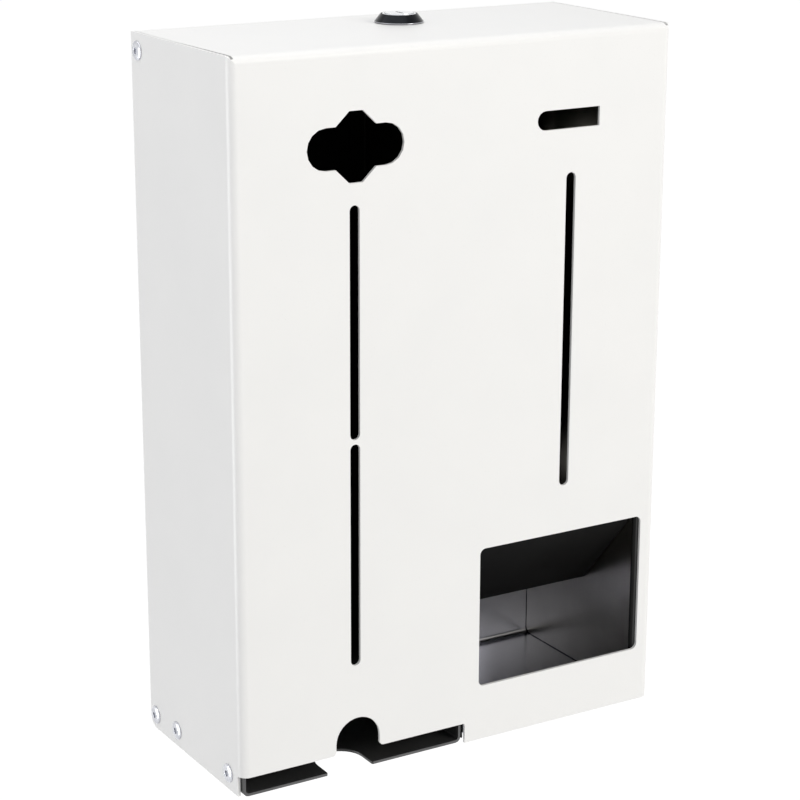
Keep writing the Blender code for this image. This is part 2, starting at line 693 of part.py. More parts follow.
def strike_bracket():
    """A steel bracket on the back plate, with a lip that the turned cam hooks behind."""
    half = LINER_SHEET / 2
    rear = PLATE_FACE - SEAT_GAP - half
    lip = LOCK_Y - CAM_WIDTH / 2 - STRIKE_PLAY - half
    arm = strike_arm_height() - half
    start = LOCK_X + STRIKE_FROM_LOCK
    path = [(rear, arm + STRIKE_LEG), (rear, arm), (lip, arm), (lip, arm + STRIKE_LIP)]
    bracket = strip("strike_bracket", path, "X", start, start + STRIKE_WIDTH, LINER_BEND, PARTS)
    for index, x in enumerate(strike_rivet_places()):
        cut_round(bracket, "strike_rivet_hole_%d" % index, (x, strike_rivet_height()),
                  RIVET_RADIUS + SEAT_GAP, "Y", rear - half - OVERRUN, rear + half + OVERRUN)
    finish_piece(bracket, ZINC)
    stack_front = rear - half
    for label, x in zip(("left", "right"), strike_rivet_places()):
        finish_piece(strike_rivet("strike_rivet_" + label, x, stack_front), ZINC)


def strike_rivet(name, x, stack_front):
    """A rivet set flush with the back plate's wall face, so that the plate lies flat."""
    z = strike_rivet_height()
    rim = RIVET_HEAD_HEIGHT / 2
    grip = WALL - stack_front
    shoulder = (RIVET_RADIUS + RIVET_HEAD_RADIUS) / 2
    profile = ((0, SEAT_GAP + RIVET_HEAD_HEIGHT), (shoulder, SEAT_GAP + RIVET_HEAD_HEIGHT),
               (RIVET_HEAD_RADIUS, SEAT_GAP + rim), (RIVET_HEAD_RADIUS, SEAT_GAP),
               (RIVET_RADIUS, SEAT_GAP), (RIVET_RADIUS, -grip), (0, -grip))
    return turned(name, profile, (x, stack_front, z), (0, -1, 0), PARTS, steps=SMALL_ROUND_STEPS)


def pad_tray():
    """The black tray under the pads, folded up at both sides, with a finger notch."""
    half = LINER_SHEET / 2
    left = INSIDE_LEFT + SEAT_GAP + half
    right = DIVIDER_X - LINER_SHEET - SEAT_GAP
    front = FRONT + PAD_TRAY_SETBACK
    rear = WALL - TRAY_REAR_FROM_WALL
    path = [(left, TRAY_FLANGE_HEIGHT), (left, half), (right, half), (right, TRAY_FLANGE_HEIGHT)]
    tray = strip("pad_tray", path, "Y", front, rear, PAD_TRAY_BEND, PARTS)
    cut_box(tray, "tray_flange_fronts", (LEFT, front - OVERRUN, MOUTH_HEIGHT - SEAT_GAP),
            (DIVIDER_X, FRONT + COVER_BEND + TRAY_FLANGE_SETBACK, TRAY_FLANGE_HEIGHT + OVERRUN))
    cut_outline(tray, "finger_notch", notch_outline(front), "Z", -OVERRUN, LINER_SHEET + OVERRUN)
    relief_side = INSIDE_LEFT + pivot_stack() + PIVOT_RELIEF_SIDE_GAP
    cut_box(tray, "pad_tray_pivot_relief", (LEFT, PIVOT_Y - PIVOT_RELIEF_REACH, -OVERRUN),
            (relief_side, WALL, TRAY_FLANGE_HEIGHT + OVERRUN))
    for index, y in enumerate(TRAY_SCREW_Y):
        cut_round(tray, "pad_tray_screw_hole_%d" % index, (y, TRAY_SCREW_HEIGHT),
                  SCREW_RADIUS + SCREW_HOLE_GAP, "X", left - half - OVERRUN, left + half + OVERRUN)
    for index, y in enumerate(divider_rivet_places()):
        cut_round(tray, "pad_tray_rivet_hole_%d" % index, (y, RIVET_HEIGHT),
                  RIVET_RADIUS + SEAT_GAP, "X", right - half - OVERRUN, right + half + OVERRUN)
    return finish_piece(tray, BLACK)


def notch_outline(front):
    """The finger notch in the pad tray's floor: a round end, and rounded front corners."""
    x = LEFT + NOTCH_FROM_LEFT
    lip = NOTCH_LIP_RADIUS
    reach = NOTCH_RADIUS + lip
    return ([(x - reach, front - OVERRUN), (x + reach, front - OVERRUN)]
            + arc((x + reach, front + lip), lip, 270, 180)
            + arc((x, front + NOTCH_DEPTH - NOTCH_RADIUS), NOTCH_RADIUS, 0, 180, HALF_ROUND_STEPS)
            + arc((x - reach, front + lip), lip, 0, -90))


def pivot_stack():
    """How far a pivot screw reaches in from the cover's inner side."""
    return PLATE_FLANGE_INSET + LINER_SHEET + SEAT_GAP + NUT_HEIGHT + SCREW_END


def divider_rivet_places():
    return (FRONT + RIVET_FROM_FRONT, WALL - RIVET_FROM_WALL)


def divider():
    """The upright black sheet between the two hoppers, with a flange at each edge."""
    half = LINER_SHEET / 2
    front = INSIDE_FRONT + SEAT_GAP + half
    rear = WALL - DIVIDER_REAR_FROM_WALL - half
    flange = DIVIDER_X - DIVIDER_FLANGE
    path = [(flange, front), (DIVIDER_X, front), (DIVIDER_X, rear), (flange, rear)]
    sheet = strip("divider", path, "Z", DIVIDER_LOW, HOPPER_TOP, LINER_BEND, PARTS)
    cut_box(sheet, "divider_flange_foot", (flange - OVERRUN, FRONT, DIVIDER_LOW - OVERRUN),
            (DIVIDER_X - half, WALL, DIVIDER_FLANGE_LOW))
    cut_outline(sheet, "divider_corner",
                rear_corner_outline(rear + half, DIVIDER_LOW, DIVIDER_CORNER_RADIUS), "X",
                flange, DIVIDER_X + OVERRUN)
    for index, y in enumerate(divider_rivet_places()):
        cut_round(sheet, "divider_rivet_hole_%d" % index, (y, RIVET_HEIGHT),
                  RIVET_RADIUS + SEAT_GAP, "X", DIVIDER_X - OVERRUN, DIVIDER_X + OVERRUN)
    for index, place in enumerate(ramp_rivet_places()):
        cut_round(sheet, "divider_ramp_hole_%d" % index, place,
                  RIVET_RADIUS + SEAT_GAP, "X", DIVIDER_X - OVERRUN, DIVIDER_X + OVERRUN)
    finish_piece(sheet, BLACK)
    low = DIVIDER_X - LINER_SHEET - SEAT_GAP - half
    high = DIVIDER_X + LINER_SHEET + SEAT_GAP + half
    for label, y in zip(("front", "rear"), divider_rivet_places()):
        finish_piece(rivet("divider_rivet_" + label, (low, y, RIVET_HEIGHT),
                           (high, y, RIVET_HEIGHT), (1, 0, 0)), ZINC)


def tampon_tray_surface(left, right, floor, back):
    """The tampon tray's middle surface, folded in one piece. Behind the flanges the
    floor and the back stand clear of the right pivot screw."""
    bend = LINER_BEND
    turn = TAMPON_BACK_BEND + LINER_SHEET / 2
    front = INSIDE_FRONT + SEAT_GAP
    relief = PIVOT_Y - PIVOT_RELIEF_REACH
    relief_side = INSIDE_RIGHT - pivot_stack() - PIVOT_RELIEF_SIDE_GAP
    back_end = INSIDE_RIGHT - PLATE_FLANGE_INSET - LINER_SHEET - TAMPON_BACK_END_GAP
    across = ([(left, TRAY_FLANGE_HEIGHT)]
              + arc((left + bend, floor + bend), bend, 180, 270, BEND_STEPS)
              + [(relief_side, floor)]
              + arc((right - bend, floor + bend), bend, 270, 360, BEND_STEPS)
              + [(right, TRAY_FLANGE_HEIGHT)])
    upper = [(back, PIVOT_RELIEF_HEIGHT), (back, TAMPON_BACK_TOP)]
    rising = ([(relief, floor)]
              + arc((back - turn, floor + turn), turn, 270, 360, BEND_STEPS) + upper)
    shape = bmesh.new()
    add_grid(shape, [[(x, y, z) for x, z in across] for y in (front, relief)])
    add_grid(shape, [[(x, y, z) for x in (left - LINER_SHEET / 2, left + bend, relief_side)]
                     for y, z in rising])
    add_grid(shape, [[(x, y, z) for x in (relief_side, back_end)] for y, z in upper])
    bmesh.ops.remove_doubles(shape, verts=shape.verts, dist=WELD_DISTANCE)
    bmesh.ops.recalc_face_normals(shape, faces=shape.faces)
    mesh = bpy.data.meshes.new("tampon_tray")
    shape.to_mesh(mesh)
    shape.free()
    return mesh


def tampon_tray():
    """The plated tray under the tampons: a floor that turns up into a low back,
    with a flange at each side."""
    half = LINER_SHEET / 2
    left = DIVIDER_X + LINER_SHEET + SEAT_GAP
    right = INSIDE_RIGHT - SEAT_GAP - half
    surface = tampon_tray_surface(left, right, TAMPON_FLOOR - half,
                                  WALL - TAMPON_BACK_FROM_WALL + half)
    tray = give_wall(add_object("tampon_tray", surface, PARTS), LINER_SHEET)
    cut_box(tray, "tampon_tray_flange_fronts",
            (left - half - OVERRUN, FRONT, TAMPON_FLOOR + LINER_BEND),
            (RIGHT, FRONT + COVER_BEND + TRAY_FLANGE_SETBACK, TRAY_FLANGE_HEIGHT + OVERRUN))
    cut_box(tray, "tampon_tray_corner", (RIGHT - COVER_BEND, FRONT, -OVERRUN),
            (RIGHT, FRONT + COVER_BEND + TRAY_FLANGE_SETBACK, TRAY_FLANGE_HEIGHT))
    for index, y in enumerate(TRAY_SCREW_Y):
        cut_round(tray, "tampon_tray_screw_hole_%d" % index, (y, TRAY_SCREW_HEIGHT),
                  SCREW_RADIUS + SCREW_HOLE_GAP, "X", right - half - OVERRUN,
                  right + half + OVERRUN)
    for index, y in enumerate(divider_rivet_places()):
        cut_round(tray, "tampon_tray_rivet_hole_%d" % index, (y, RIVET_HEIGHT),
                  RIVET_RADIUS + SEAT_GAP, "X", left - half - OVERRUN, left + half + OVERRUN)
    return finish_piece(tray, ZINC)


def tampon_side_wall():
    """The black wall at the window's right edge, with a flange behind the front."""
    half = LINER_SHEET / 2
    x = RIGHT - SIDE_WALL_FROM_RIGHT + half
    front = INSIDE_FRONT + SEAT_GAP + half
    rear = WALL - TAMPON_BACK_FROM_WALL - SEAT_GAP
    low = TAMPON_FLOOR + SEAT_GAP
    path = [(x + SIDE_WALL_FLANGE, front), (x, front), (x, rear)]
    sheet = strip("tampon_side_wall", path, "Z", low, HOPPER_TOP, LINER_BEND, PARTS)
    cut_outline(sheet, "side_wall_corner",
                rear_corner_outline(rear, low, TAMPON_BACK_BEND + half), "X",
                x - half - OVERRUN, x + half + OVERRUN)
    for index, place in enumerate(ramp_rivet_places()):
        cut_round(sheet, "side_wall_rivet_hole_%d" % index, place,
                  RIVET_RADIUS + SEAT_GAP, "X", x - half - OVERRUN, x + half + OVERRUN)
    return finish_piece(sheet, BLACK)


def ramp_line():
    """The ramp's fold and its lower edge, on its centre line, in Y and Z."""
    top = Vector((INSIDE_FRONT + SEAT_GAP + LINER_SHEET / 2, WINDOW_HIGH + RAMP_BEND_ABOVE_WINDOW))
    low = Vector((FRONT + RAMP_LOW_FROM_FRONT, RAMP_LOW_HEIGHT))
    return top, low


def ramp_normal():
    """Square to the ramp, towards the hopper above it."""
    top, low = ramp_line()
    run = (low - top).normalized()
    return Vector((-run.y, run.x))


def ramp_rivet_places():
    top, low = ramp_line()
    rise = ramp_normal() * RAMP_RIVET_RISE
    return [tuple(top.lerp(low, share) + rise) for share in RAMP_RIVET_SHARES]


def tampon_ramp():
    """The black ramp that turns the tampons to the back and hides the stock above."""
    half = LINER_SHEET / 2
    top, low = ramp_line()
    left = DIVIDER_X + half + SEAT_GAP
    right = RIGHT - SIDE_WALL_FROM_RIGHT - SEAT_GAP
    path = [(top.x, top.y + RAMP_FLANGE_HEIGHT), tuple(top), tuple(low)]
    ramp = strip("tampon_ramp", path, "X", left, right, LINER_BEND, PARTS)
    rise = ramp_normal() * RAMP_TAB_HEIGHT
    start = top.lerp(low, RAMP_TAB_SHARES[0])
    end = top.lerp(low, RAMP_TAB_SHARES[1])
    tab = [tuple(start), tuple(end), tuple(end + rise), tuple(start + rise)]
    for label, edge in (("left", left), ("right", right - LINER_SHEET)):
        piece = outline_solid("ramp_tab_" + label, tab, "X", edge, edge + LINER_SHEET, TOOLS)
        boolean(ramp, piece, "UNION")
    for index, place in enumerate(ramp_rivet_places()):
        cut_round(ramp, "ramp_rivet_hole_%d" % index, place, RIVET_RADIUS + SEAT_GAP, "X",
                  left - OVERRUN, right + OVERRUN)
    finish_piece(ramp, BLACK)
    side = RIGHT - SIDE_WALL_FROM_RIGHT
    stacks = (("left", DIVIDER_X - half, left + LINER_SHEET),
              ("right", right - LINER_SHEET, side + LINER_SHEET))
    for label, inner, outer in stacks:
        for level, (y, z) in zip(("upper", "lower"), ramp_rivet_places()):
            finish_piece(rivet("ramp_rivet_%s_%s" % (label, level), (inner, y, z),
                               (outer, y, z), (1, 0, 0)), ZINC)


def corner_bracket(label, side):
    """An angle under the top that the upper side screw pulls the cover's side against."""
    half = LINER_SHEET / 2
    x = side * (WIDTH / 2 - COVER_SHEET - SEAT_GAP - half)
    shelf = UNDER_TOP - SEAT_GAP - half
    rear = PLATE_FACE - SEAT_GAP
    path = [(x - side * BRACKET_SHELF, shelf), (x, shelf), (x, shelf - BRACKET_LEG)]
    name = "corner_bracket_" + label
    bracket = strip(name, path, "Y", rear - BRACKET_LENGTH, rear, LINER_BEND, PARTS)
    cut_round(bracket, name + "_hole", (CORNER_SCREW_Y, CORNER_SCREW_Z),
              SCREW_RADIUS + SCREW_HOLE_GAP, "X", LEFT, RIGHT)
    return finish_piece(bracket, BLACK)


def side_screw(name, side, y, z, grip):
    """A button head screw put in from one side, through a stack of a given depth."""
    seat = (side * (WIDTH / 2 + SEAT_GAP), y, z)
    return button_screw(name, seat, (side, 0, 0), grip + SEAT_GAP)


def side_nut(name, side, y, z, depth):
    """A nut inside a side wall; its near face lies at a depth from the cover's outside."""
    face = (side * (WIDTH / 2 - depth), y, z)
    return hex_nut(name, face, (-side, 0, 0), NUT_ACROSS, NUT_HEIGHT,
                   SCREW_RADIUS + SEAT_GAP, PARTS)


def side_fasteners():
    """The screws and nuts of both sides: pivots, tray screws and corner screws."""
    flange_depth = COVER_SHEET + SEAT_GAP + LINER_SHEET + SEAT_GAP
    pivot_depth = COVER_SHEET + PLATE_FLANGE_INSET + LINER_SHEET + SEAT_GAP
    flange_grip = flange_depth + NUT_HEIGHT + SCREW_END
    pivot_grip = pivot_depth + NUT_HEIGHT + SCREW_END
    for label, side in (("left", -1), ("right", 1)):
        finish_piece(side_screw("hinge_pin_" + label, side, PIVOT_Y, PIVOT_HEIGHT, pivot_grip),
                     ZINC)
        finish_piece(side_nut("hinge_nut_" + label, side, PIVOT_Y, PIVOT_HEIGHT, pivot_depth),
                     ZINC)
        face = (side * (WIDTH / 2 - COVER_SHEET - SEAT_GAP), PIVOT_Y, PIVOT_HEIGHT)
        finish_piece(washer("hinge_washer_" + label, face, (-side, 0, 0), PIVOT_WASHER_RADIUS,
                            PIVOT_WASHER_THICKNESS, SCREW_RADIUS + SEAT_GAP), NYLON)
        finish_piece(side_screw("corner_screw_" + label, side, CORNER_SCREW_Y, CORNER_SCREW_Z,
                                flange_grip), ZINC)
        finish_piece(side_nut("corner_nut_" + label, side, CORNER_SCREW_Y, CORNER_SCREW_Z,
                              flange_depth), ZINC)
        for place, y in zip(("front", "rear"), TRAY_SCREW_Y):
            finish_piece(side_screw("tray_screw_%s_%s" % (label, place), side, y,
                                    TRAY_SCREW_HEIGHT, flange_grip), ZINC)
            finish_piece(side_nut("tray_nut_%s_%s" % (label, place), side, y,
                                  TRAY_SCREW_HEIGHT, flange_depth), ZINC)


def lock_body():
    """The lock's fixed pieces: collar, barrel, washer and nut, from the top down."""
    base = (LOCK_X, LOCK_Y, HEIGHT + SEAT_GAP)
    ledge_radius = BARREL_RADIUS + SEAT_GAP
    collar = ((COLLAR_BORE_RADIUS, COLLAR_HEIGHT), (COLLAR_TOP_RADIUS, COLLAR_HEIGHT),
              (COLLAR_BASE_RADIUS, COLLAR_LEDGE / 2), (COLLAR_BASE_RADIUS, 0), (ledge_radius, 0),
              (ledge_radius, COLLAR_LEDGE), (COLLAR_BORE_RADIUS, COLLAR_LEDGE))
    finish_piece(turned("lock_collar", collar, base, (0, 0, 1), PARTS, closed=True), CHROME)
    seat = HEIGHT + SEAT_GAP + COLLAR_LEDGE + SEAT_GAP
    bore = PLUG_RADIUS + SEAT_GAP
    counterbore = PLUG_HEAD_RADIUS + SEAT_GAP
    pocket = BARREL_HEAD_HEIGHT - PLUG_HEAD_HEIGHT
    drop = seat - BARREL_END
    barrel = ((counterbore, BARREL_HEAD_HEIGHT), (BARREL_HEAD_RADIUS, BARREL_HEAD_HEIGHT),
              (BARREL_HEAD_RADIUS, 0), (BARREL_RADIUS, 0), (BARREL_RADIUS, -drop), (bore, -drop),
              (bore, pocket), (counterbore, pocket))
    finish_piece(turned("lock_housing", barrel, (LOCK_X, LOCK_Y, seat), (0, 0, 1), PARTS,
                        closed=True), CHROME)
    washer_top = (LOCK_X, LOCK_Y, UNDER_TOP - SEAT_GAP)
    finish_piece(washer("lock_washer", washer_top, (0, 0, -1), LOCK_WASHER_RADIUS,
                        LOCK_WASHER_THICKNESS, BARREL_RADIUS + SEAT_GAP), ZINC)
    nut_top = (LOCK_X, LOCK_Y, UNDER_TOP - SEAT_GAP - LOCK_WASHER_THICKNESS - SEAT_GAP)
    finish_piece(hex_nut("lock_nut", nut_top, (0, 0, -1), LOCK_NUT_ACROSS, LOCK_NUT_HEIGHT,
                         BARREL_RADIUS + SEAT_GAP, PARTS), ZINC)


def lock_turning_parts():
    """What the key turns: the plug, its cam, and the cam's washer and screw."""
    seat = HEIGHT + SEAT_GAP + COLLAR_LEDGE + SEAT_GAP
    under_head = seat + BARREL_HEAD_HEIGHT - PLUG_HEAD_HEIGHT + SEAT_GAP
    stub_end = CAM_UNDER + SEAT_GAP
    profile = ((0, PLUG_HEAD_HEIGHT), (PLUG_HEAD_RADIUS, PLUG_HEAD_HEIGHT), (PLUG_HEAD_RADIUS, 0),
               (PLUG_RADIUS, 0), (PLUG_RADIUS, BARREL_END - under_head),
               (0, BARREL_END - under_head))
    plug = turned("lock_plug", profile, (LOCK_X, LOCK_Y, under_head), (0, 0, 1), PARTS)
    stub = prism("plug_stub", 4, PLUG_STUB_ACROSS, BARREL_END + SEAT_GAP - stub_end,
                 (LOCK_X, LOCK_Y, stub_end), (0, 0, 1), SQUARE_TURN, TOOLS)
    boolean(plug, stub, "UNION")
    plug_top = under_head + PLUG_HEAD_HEIGHT
    cut_box(plug, "keyway",
            (LOCK_X - KEYWAY_WIDTH / 2, LOCK_Y - KEYWAY_LENGTH / 2, plug_top - KEYWAY_DEPTH),
            (LOCK_X + KEYWAY_WIDTH / 2, LOCK_Y + KEYWAY_LENGTH / 2, plug_top + OVERRUN))
    cut_round(plug, "plug_screw_hole", (LOCK_X, LOCK_Y), CAM_SCREW_RADIUS + SEAT_GAP, "Z",
              stub_end - OVERRUN, CAM_UNDER + CAM_SCREW_DEPTH + SEAT_GAP)
    finish_piece(plug, CHROME)
    lock_cam()
    washer_top = CAM_UNDER - SEAT_GAP
    finish_piece(washer("cam_washer", (LOCK_X, LOCK_Y, washer_top), (0, 0, -1),
                        CAM_WASHER_RADIUS, CAM_WASHER_THICKNESS, CAM_SCREW_RADIUS + SEAT_GAP),
                 ZINC)
    head_top = washer_top - CAM_WASHER_THICKNESS - SEAT_GAP
    reach = CAM_UNDER + CAM_SCREW_DEPTH - head_top
    screw = ((0, CAM_SCREW_HEAD_HEIGHT), (CAM_SCREW_HEAD_RADIUS / 2, CAM_SCREW_HEAD_HEIGHT),
             (CAM_SCREW_HEAD_RADIUS, CAM_SCREW_HEAD_HEIGHT / 2), (CAM_SCREW_HEAD_RADIUS, 0),
             (CAM_SCREW_RADIUS, 0), (CAM_SCREW_RADIUS, -reach), (0, -reach))
    finish_piece(turned("cam_screw", screw, (LOCK_X, LOCK_Y, head_top), (0, 0, -1), PARTS,
                        steps=SMALL_ROUND_STEPS), ZINC)


def lock_cam():
    """The steel cam on the plug's square end; it points to the rear when unlocked."""
    radius = CAM_WIDTH / 2
    tip = LOCK_Y + CAM_LENGTH - radius
    points = (arc((LOCK_X, LOCK_Y), radius, 180, 360) + arc((LOCK_X, tip), radius, 0, 180))
    cam = outline_solid("lock_cam", points, "Z", CAM_UNDER, CAM_TOP, PARTS)
    hole = prism("cam_square_hole", 4, PLUG_STUB_ACROSS + SEAT_GAP * 2,
                 CAM_THICKNESS + OVERRUN * 2, (LOCK_X, LOCK_Y, CAM_UNDER - OVERRUN), (0, 0, 1),
                 SQUARE_TURN, TOOLS)
    boolean(cam, hole)
    return finish_piece(cam, ZINC)


clear_scene()
PARTS = make_collection("sanitary_pad_dispenser")
TOOLS = make_collection("cutters")

back_plate()
strike_bracket()
cover_shell()
pad_tray()
divider()
tampon_tray()
tampon_side_wall()
tampon_ramp()
corner_bracket("left", -1)
corner_bracket("right", 1)
side_fasteners()
lock_body()
lock_turning_parts()
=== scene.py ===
"""Wall dispenser for sanitary pads and tampons: the finish of its steel, paint and fasteners.

Metres, +Z up, front towards -Y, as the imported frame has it.
"""

import json
import math

import bpy
from mathutils import Matrix, Vector

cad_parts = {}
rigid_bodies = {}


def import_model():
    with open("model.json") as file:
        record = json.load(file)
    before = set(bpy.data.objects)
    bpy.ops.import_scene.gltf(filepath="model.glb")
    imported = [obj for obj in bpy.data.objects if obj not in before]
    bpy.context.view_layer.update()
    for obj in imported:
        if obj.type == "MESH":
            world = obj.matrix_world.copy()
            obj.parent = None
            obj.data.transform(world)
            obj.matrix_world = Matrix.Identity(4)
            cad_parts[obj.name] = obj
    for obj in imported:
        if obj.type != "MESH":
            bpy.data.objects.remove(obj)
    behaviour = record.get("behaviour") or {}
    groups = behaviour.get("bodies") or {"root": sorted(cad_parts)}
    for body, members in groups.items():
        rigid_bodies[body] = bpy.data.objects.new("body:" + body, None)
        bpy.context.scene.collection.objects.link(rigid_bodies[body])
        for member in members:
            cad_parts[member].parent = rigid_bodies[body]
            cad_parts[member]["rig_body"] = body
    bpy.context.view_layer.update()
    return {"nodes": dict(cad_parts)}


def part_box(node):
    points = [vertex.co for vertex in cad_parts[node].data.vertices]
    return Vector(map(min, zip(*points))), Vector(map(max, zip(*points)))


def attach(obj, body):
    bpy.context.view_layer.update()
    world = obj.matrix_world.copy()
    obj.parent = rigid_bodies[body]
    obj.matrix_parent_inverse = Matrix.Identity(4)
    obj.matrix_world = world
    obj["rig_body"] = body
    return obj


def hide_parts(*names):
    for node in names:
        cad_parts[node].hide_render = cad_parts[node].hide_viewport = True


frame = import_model()
nodes = frame["nodes"]


# The camera: a long lens to the left of the dispenser and a little above it, which looks
# down on its front, left side and top.
EYE = Vector((-0.5784, -0.9547, 0.5018))
LOOK = Vector((0.4952, 0.8210, -0.2842))
ROLL_DEGREES = 0.19
LENS_MM = 102.9
SENSOR_MM = 36
NEAREST_SEEN = 0.05
FARTHEST_SEEN = 50

camera_data = bpy.data.cameras.new("camera")
camera_data.lens = LENS_MM
camera_data.sensor_width = SENSOR_MM
camera_data.clip_start = NEAREST_SEEN
camera_data.clip_end = FARTHEST_SEEN
camera = bpy.data.objects.new("camera", camera_data)
bpy.context.scene.collection.objects.link(camera)
upright = LOOK.to_track_quat("-Z", "Y").to_matrix().to_4x4()
camera.matrix_world = (Matrix.Translation(EYE) @ upright
                       @ Matrix.Rotation(math.radians(ROLL_DEGREES), 4, "Z"))
bpy.context.scene.camera = camera


# A white studio: an even white room light, and soft boxes that leave the left side a little
# darker than the front and lay a pale glint along the top fold. A narrow strip light, which
# shows in the gloss only, does the same along the left fold.
WHITE = (1, 1, 1, 1)
ROOM_COLOUR = (0.985, 0.99, 1.0, 1)
ROOM_LIGHT = 0.50
SOFT_BOXES = (
    ("front_box", (1.15, -2.4, 1.17), (1.1, 1.1), 37.5, (1, 0.98, 0.93)),
    ("top_box", (-0.15, 0.02, 0.8), (0.7, 0.7), 1.42, (1, 1, 1)),
    ("left_box", (-2.4, 0.25, 0.08), (0.9, 0.9), 10.4, (1, 1, 1)),
    ("edge_strip", (-1.13, 0.46, -0.06), (0.5, 0.76), 12.4, (1, 1, 1)),
)
AIM = Vector((0, 0, 0.17))


def seen_by_lens(tree):
    """A share: 1 for what the lens sees, straight on or in gloss or glass, 0 for other light."""
    rays = tree.nodes.new("ShaderNodeLightPath")
    share = rays.outputs["Is Camera Ray"]
    for kind in ("Is Glossy Ray", "Is Transmission Ray"):
        either = tree.nodes.new("ShaderNodeMath")
        either.operation = "MAXIMUM"
        tree.links.new(share, either.inputs[0])
        tree.links.new(rays.outputs[kind], either.inputs[1])
        share = either.outputs[0]
    return share


world = bpy.data.worlds.new("studio")
bpy.context.scene.world = world
world.use_nodes = True
tree = world.node_tree
tree.nodes.clear()
room = tree.nodes.new("ShaderNodeBackground")
room.inputs["Color"].default_value = ROOM_COLOUR
room.inputs["Strength"].default_value = ROOM_LIGHT
backdrop = tree.nodes.new("ShaderNodeBackground")
backdrop.inputs["Color"].default_value = WHITE
choose = tree.nodes.new("ShaderNodeMixShader")
out = tree.nodes.new("ShaderNodeOutputWorld")
tree.links.new(seen_by_lens(tree), choose.inputs["Fac"])
tree.links.new(room.outputs[0], choose.inputs[1])
tree.links.new(backdrop.outputs[0], choose.inputs[2])
tree.links.new(choose.outputs[0], out.inputs["Surface"])

for name, place, (width, height), watts, colour in SOFT_BOXES:
    lamp = bpy.data.lights.new(name, "AREA")
    lamp.shape = "RECTANGLE"
    lamp.size = width
    lamp.size_y = height
    lamp.energy = watts
    lamp.color = colour
    holder = bpy.data.objects.new(name, lamp)
    bpy.context.scene.collection.objects.link(holder)
    holder.location = place
    holder.rotation_euler = (AIM - Vector(place)).to_track_quat("-Z", "Y").to_euler()
bpy.data.objects["edge_strip"].visible_diffuse = False

bpy.context.scene.view_settings.view_transform = "Standard"


# The studio's floor: pale paper well below the dispenser, which hangs on a wall in use.
# It looks white to the lens and keeps the shadow that falls on it.
FLOOR_DROP = 0.45
FLOOR_SIZE = 30
FLOOR_PAPER = (0.9, 0.9, 0.9, 1)
FLOOR_WHITE = 1.2
FLOOR_SHADOW_SHARE = 0.25

bpy.ops.object.select_all(action="DESELECT")
bpy.ops.mesh.primitive_plane_add(size=FLOOR_SIZE, location=(0, 0, -FLOOR_DROP))
floor = bpy.context.object
floor.name = "studio_floor"
paper = bpy.data.materials.new("white_paper")
paper.use_nodes = True
tree = paper.node_tree
tree.nodes.clear()
matt = tree.nodes.new("ShaderNodeBsdfDiffuse")
matt.inputs["Color"].default_value = FLOOR_PAPER
white = tree.nodes.new("ShaderNodeEmission")
white.inputs["Color"].default_value = WHITE
white.inputs["Strength"].default_value = FLOOR_WHITE
white_share = tree.nodes.new("ShaderNodeMath")
white_share.operation = "MULTIPLY"
white_share.inputs[1].default_value = 1 - FLOOR_SHADOW_SHARE
choose = tree.nodes.new("ShaderNodeMixShader")
out = tree.nodes.new("ShaderNodeOutputMaterial")
tree.links.new(seen_by_lens(tree), white_share.inputs[0])
tree.links.new(white_share.outputs[0], choose.inputs["Fac"])
tree.links.new(matt.outputs[0], choose.inputs[1])
tree.links.new(white.outputs[0], choose.inputs[2])
tree.links.new(choose.outputs[0], out.inputs["Surface"])
floor.data.materials.append(paper)


# The white cover: one steel sheet, cut, folded at the front's two sides and top, and then
# powder coated, so that paint rounds every cut edge and lies with a faint orange peel.
COAT_WHITE = (0.875, 0.873, 0.868, 1)
COAT_WHITE_THIN = (0.862, 0.861, 0.857, 1)
COAT_WHITE_DUST = (0.80, 0.80, 0.79, 1)
PAINT_ROUNDING = 0.00025
ROUNDING_STEPS = 2
MERGE = 0.00002
FLAT_DEGREES = 1
CUT_EDGE_DEGREES = 42
PEEL_SIZE = 0.0012
PEEL_HEIGHT = 0.000004
PEEL_DETAIL = 1.5
PEEL_FINENESS = 0.45
WAVES_PER_METRE = 22
WAVE_DETAIL = 3
WAVES_SEEN = (0.3, 0.6)
GLOSS_SPREAD = 0.04
DUST_PER_METRE = 420
DUST_EDGE_TO_CORE = (0.10, 0.04)


def mapped(tree, value, from_span=(0, 1), to_span=(0, 1)):
    """Carries a value from one span over to another."""
    ends = tree.nodes.new("ShaderNodeMapRange")
    ends.inputs["From Min"].default_value, ends.inputs["From Max"].default_value = from_span
    ends.inputs["To Min"].default_value, ends.inputs["To Max"].default_value = to_span
    tree.links.new(value, ends.inputs["Value"])
    return ends.outputs["Result"]


def mixed(tree, share, start, end):
    """Mixes two colours by a share. The first may be a colour or another node's output."""
    mix = tree.nodes.new("ShaderNodeMix")
    mix.data_type = "RGBA"
    tree.links.new(share, mix.inputs["Factor"])
    if isinstance(start, tuple):
        mix.inputs["A"].default_value = start
    else:
        tree.links.new(start, mix.inputs["A"])
    mix.inputs["B"].default_value = end
    return mix.outputs["Result"]


def noise_of_size(group, size, place, detail):
    """Noise whose lumps have the size that a socket of the group gives."""
    scale = group.nodes.new("ShaderNodeMath")
    scale.operation = "DIVIDE"
    scale.inputs[0].default_value = 1
    noise = group.nodes.new("ShaderNodeTexNoise")
    noise.inputs["Detail"].default_value = detail
    group.links.new(size, scale.inputs[1])
    group.links.new(scale.outputs[0], noise.inputs["Scale"])
    group.links.new(place, noise.inputs["Vector"])
    return noise


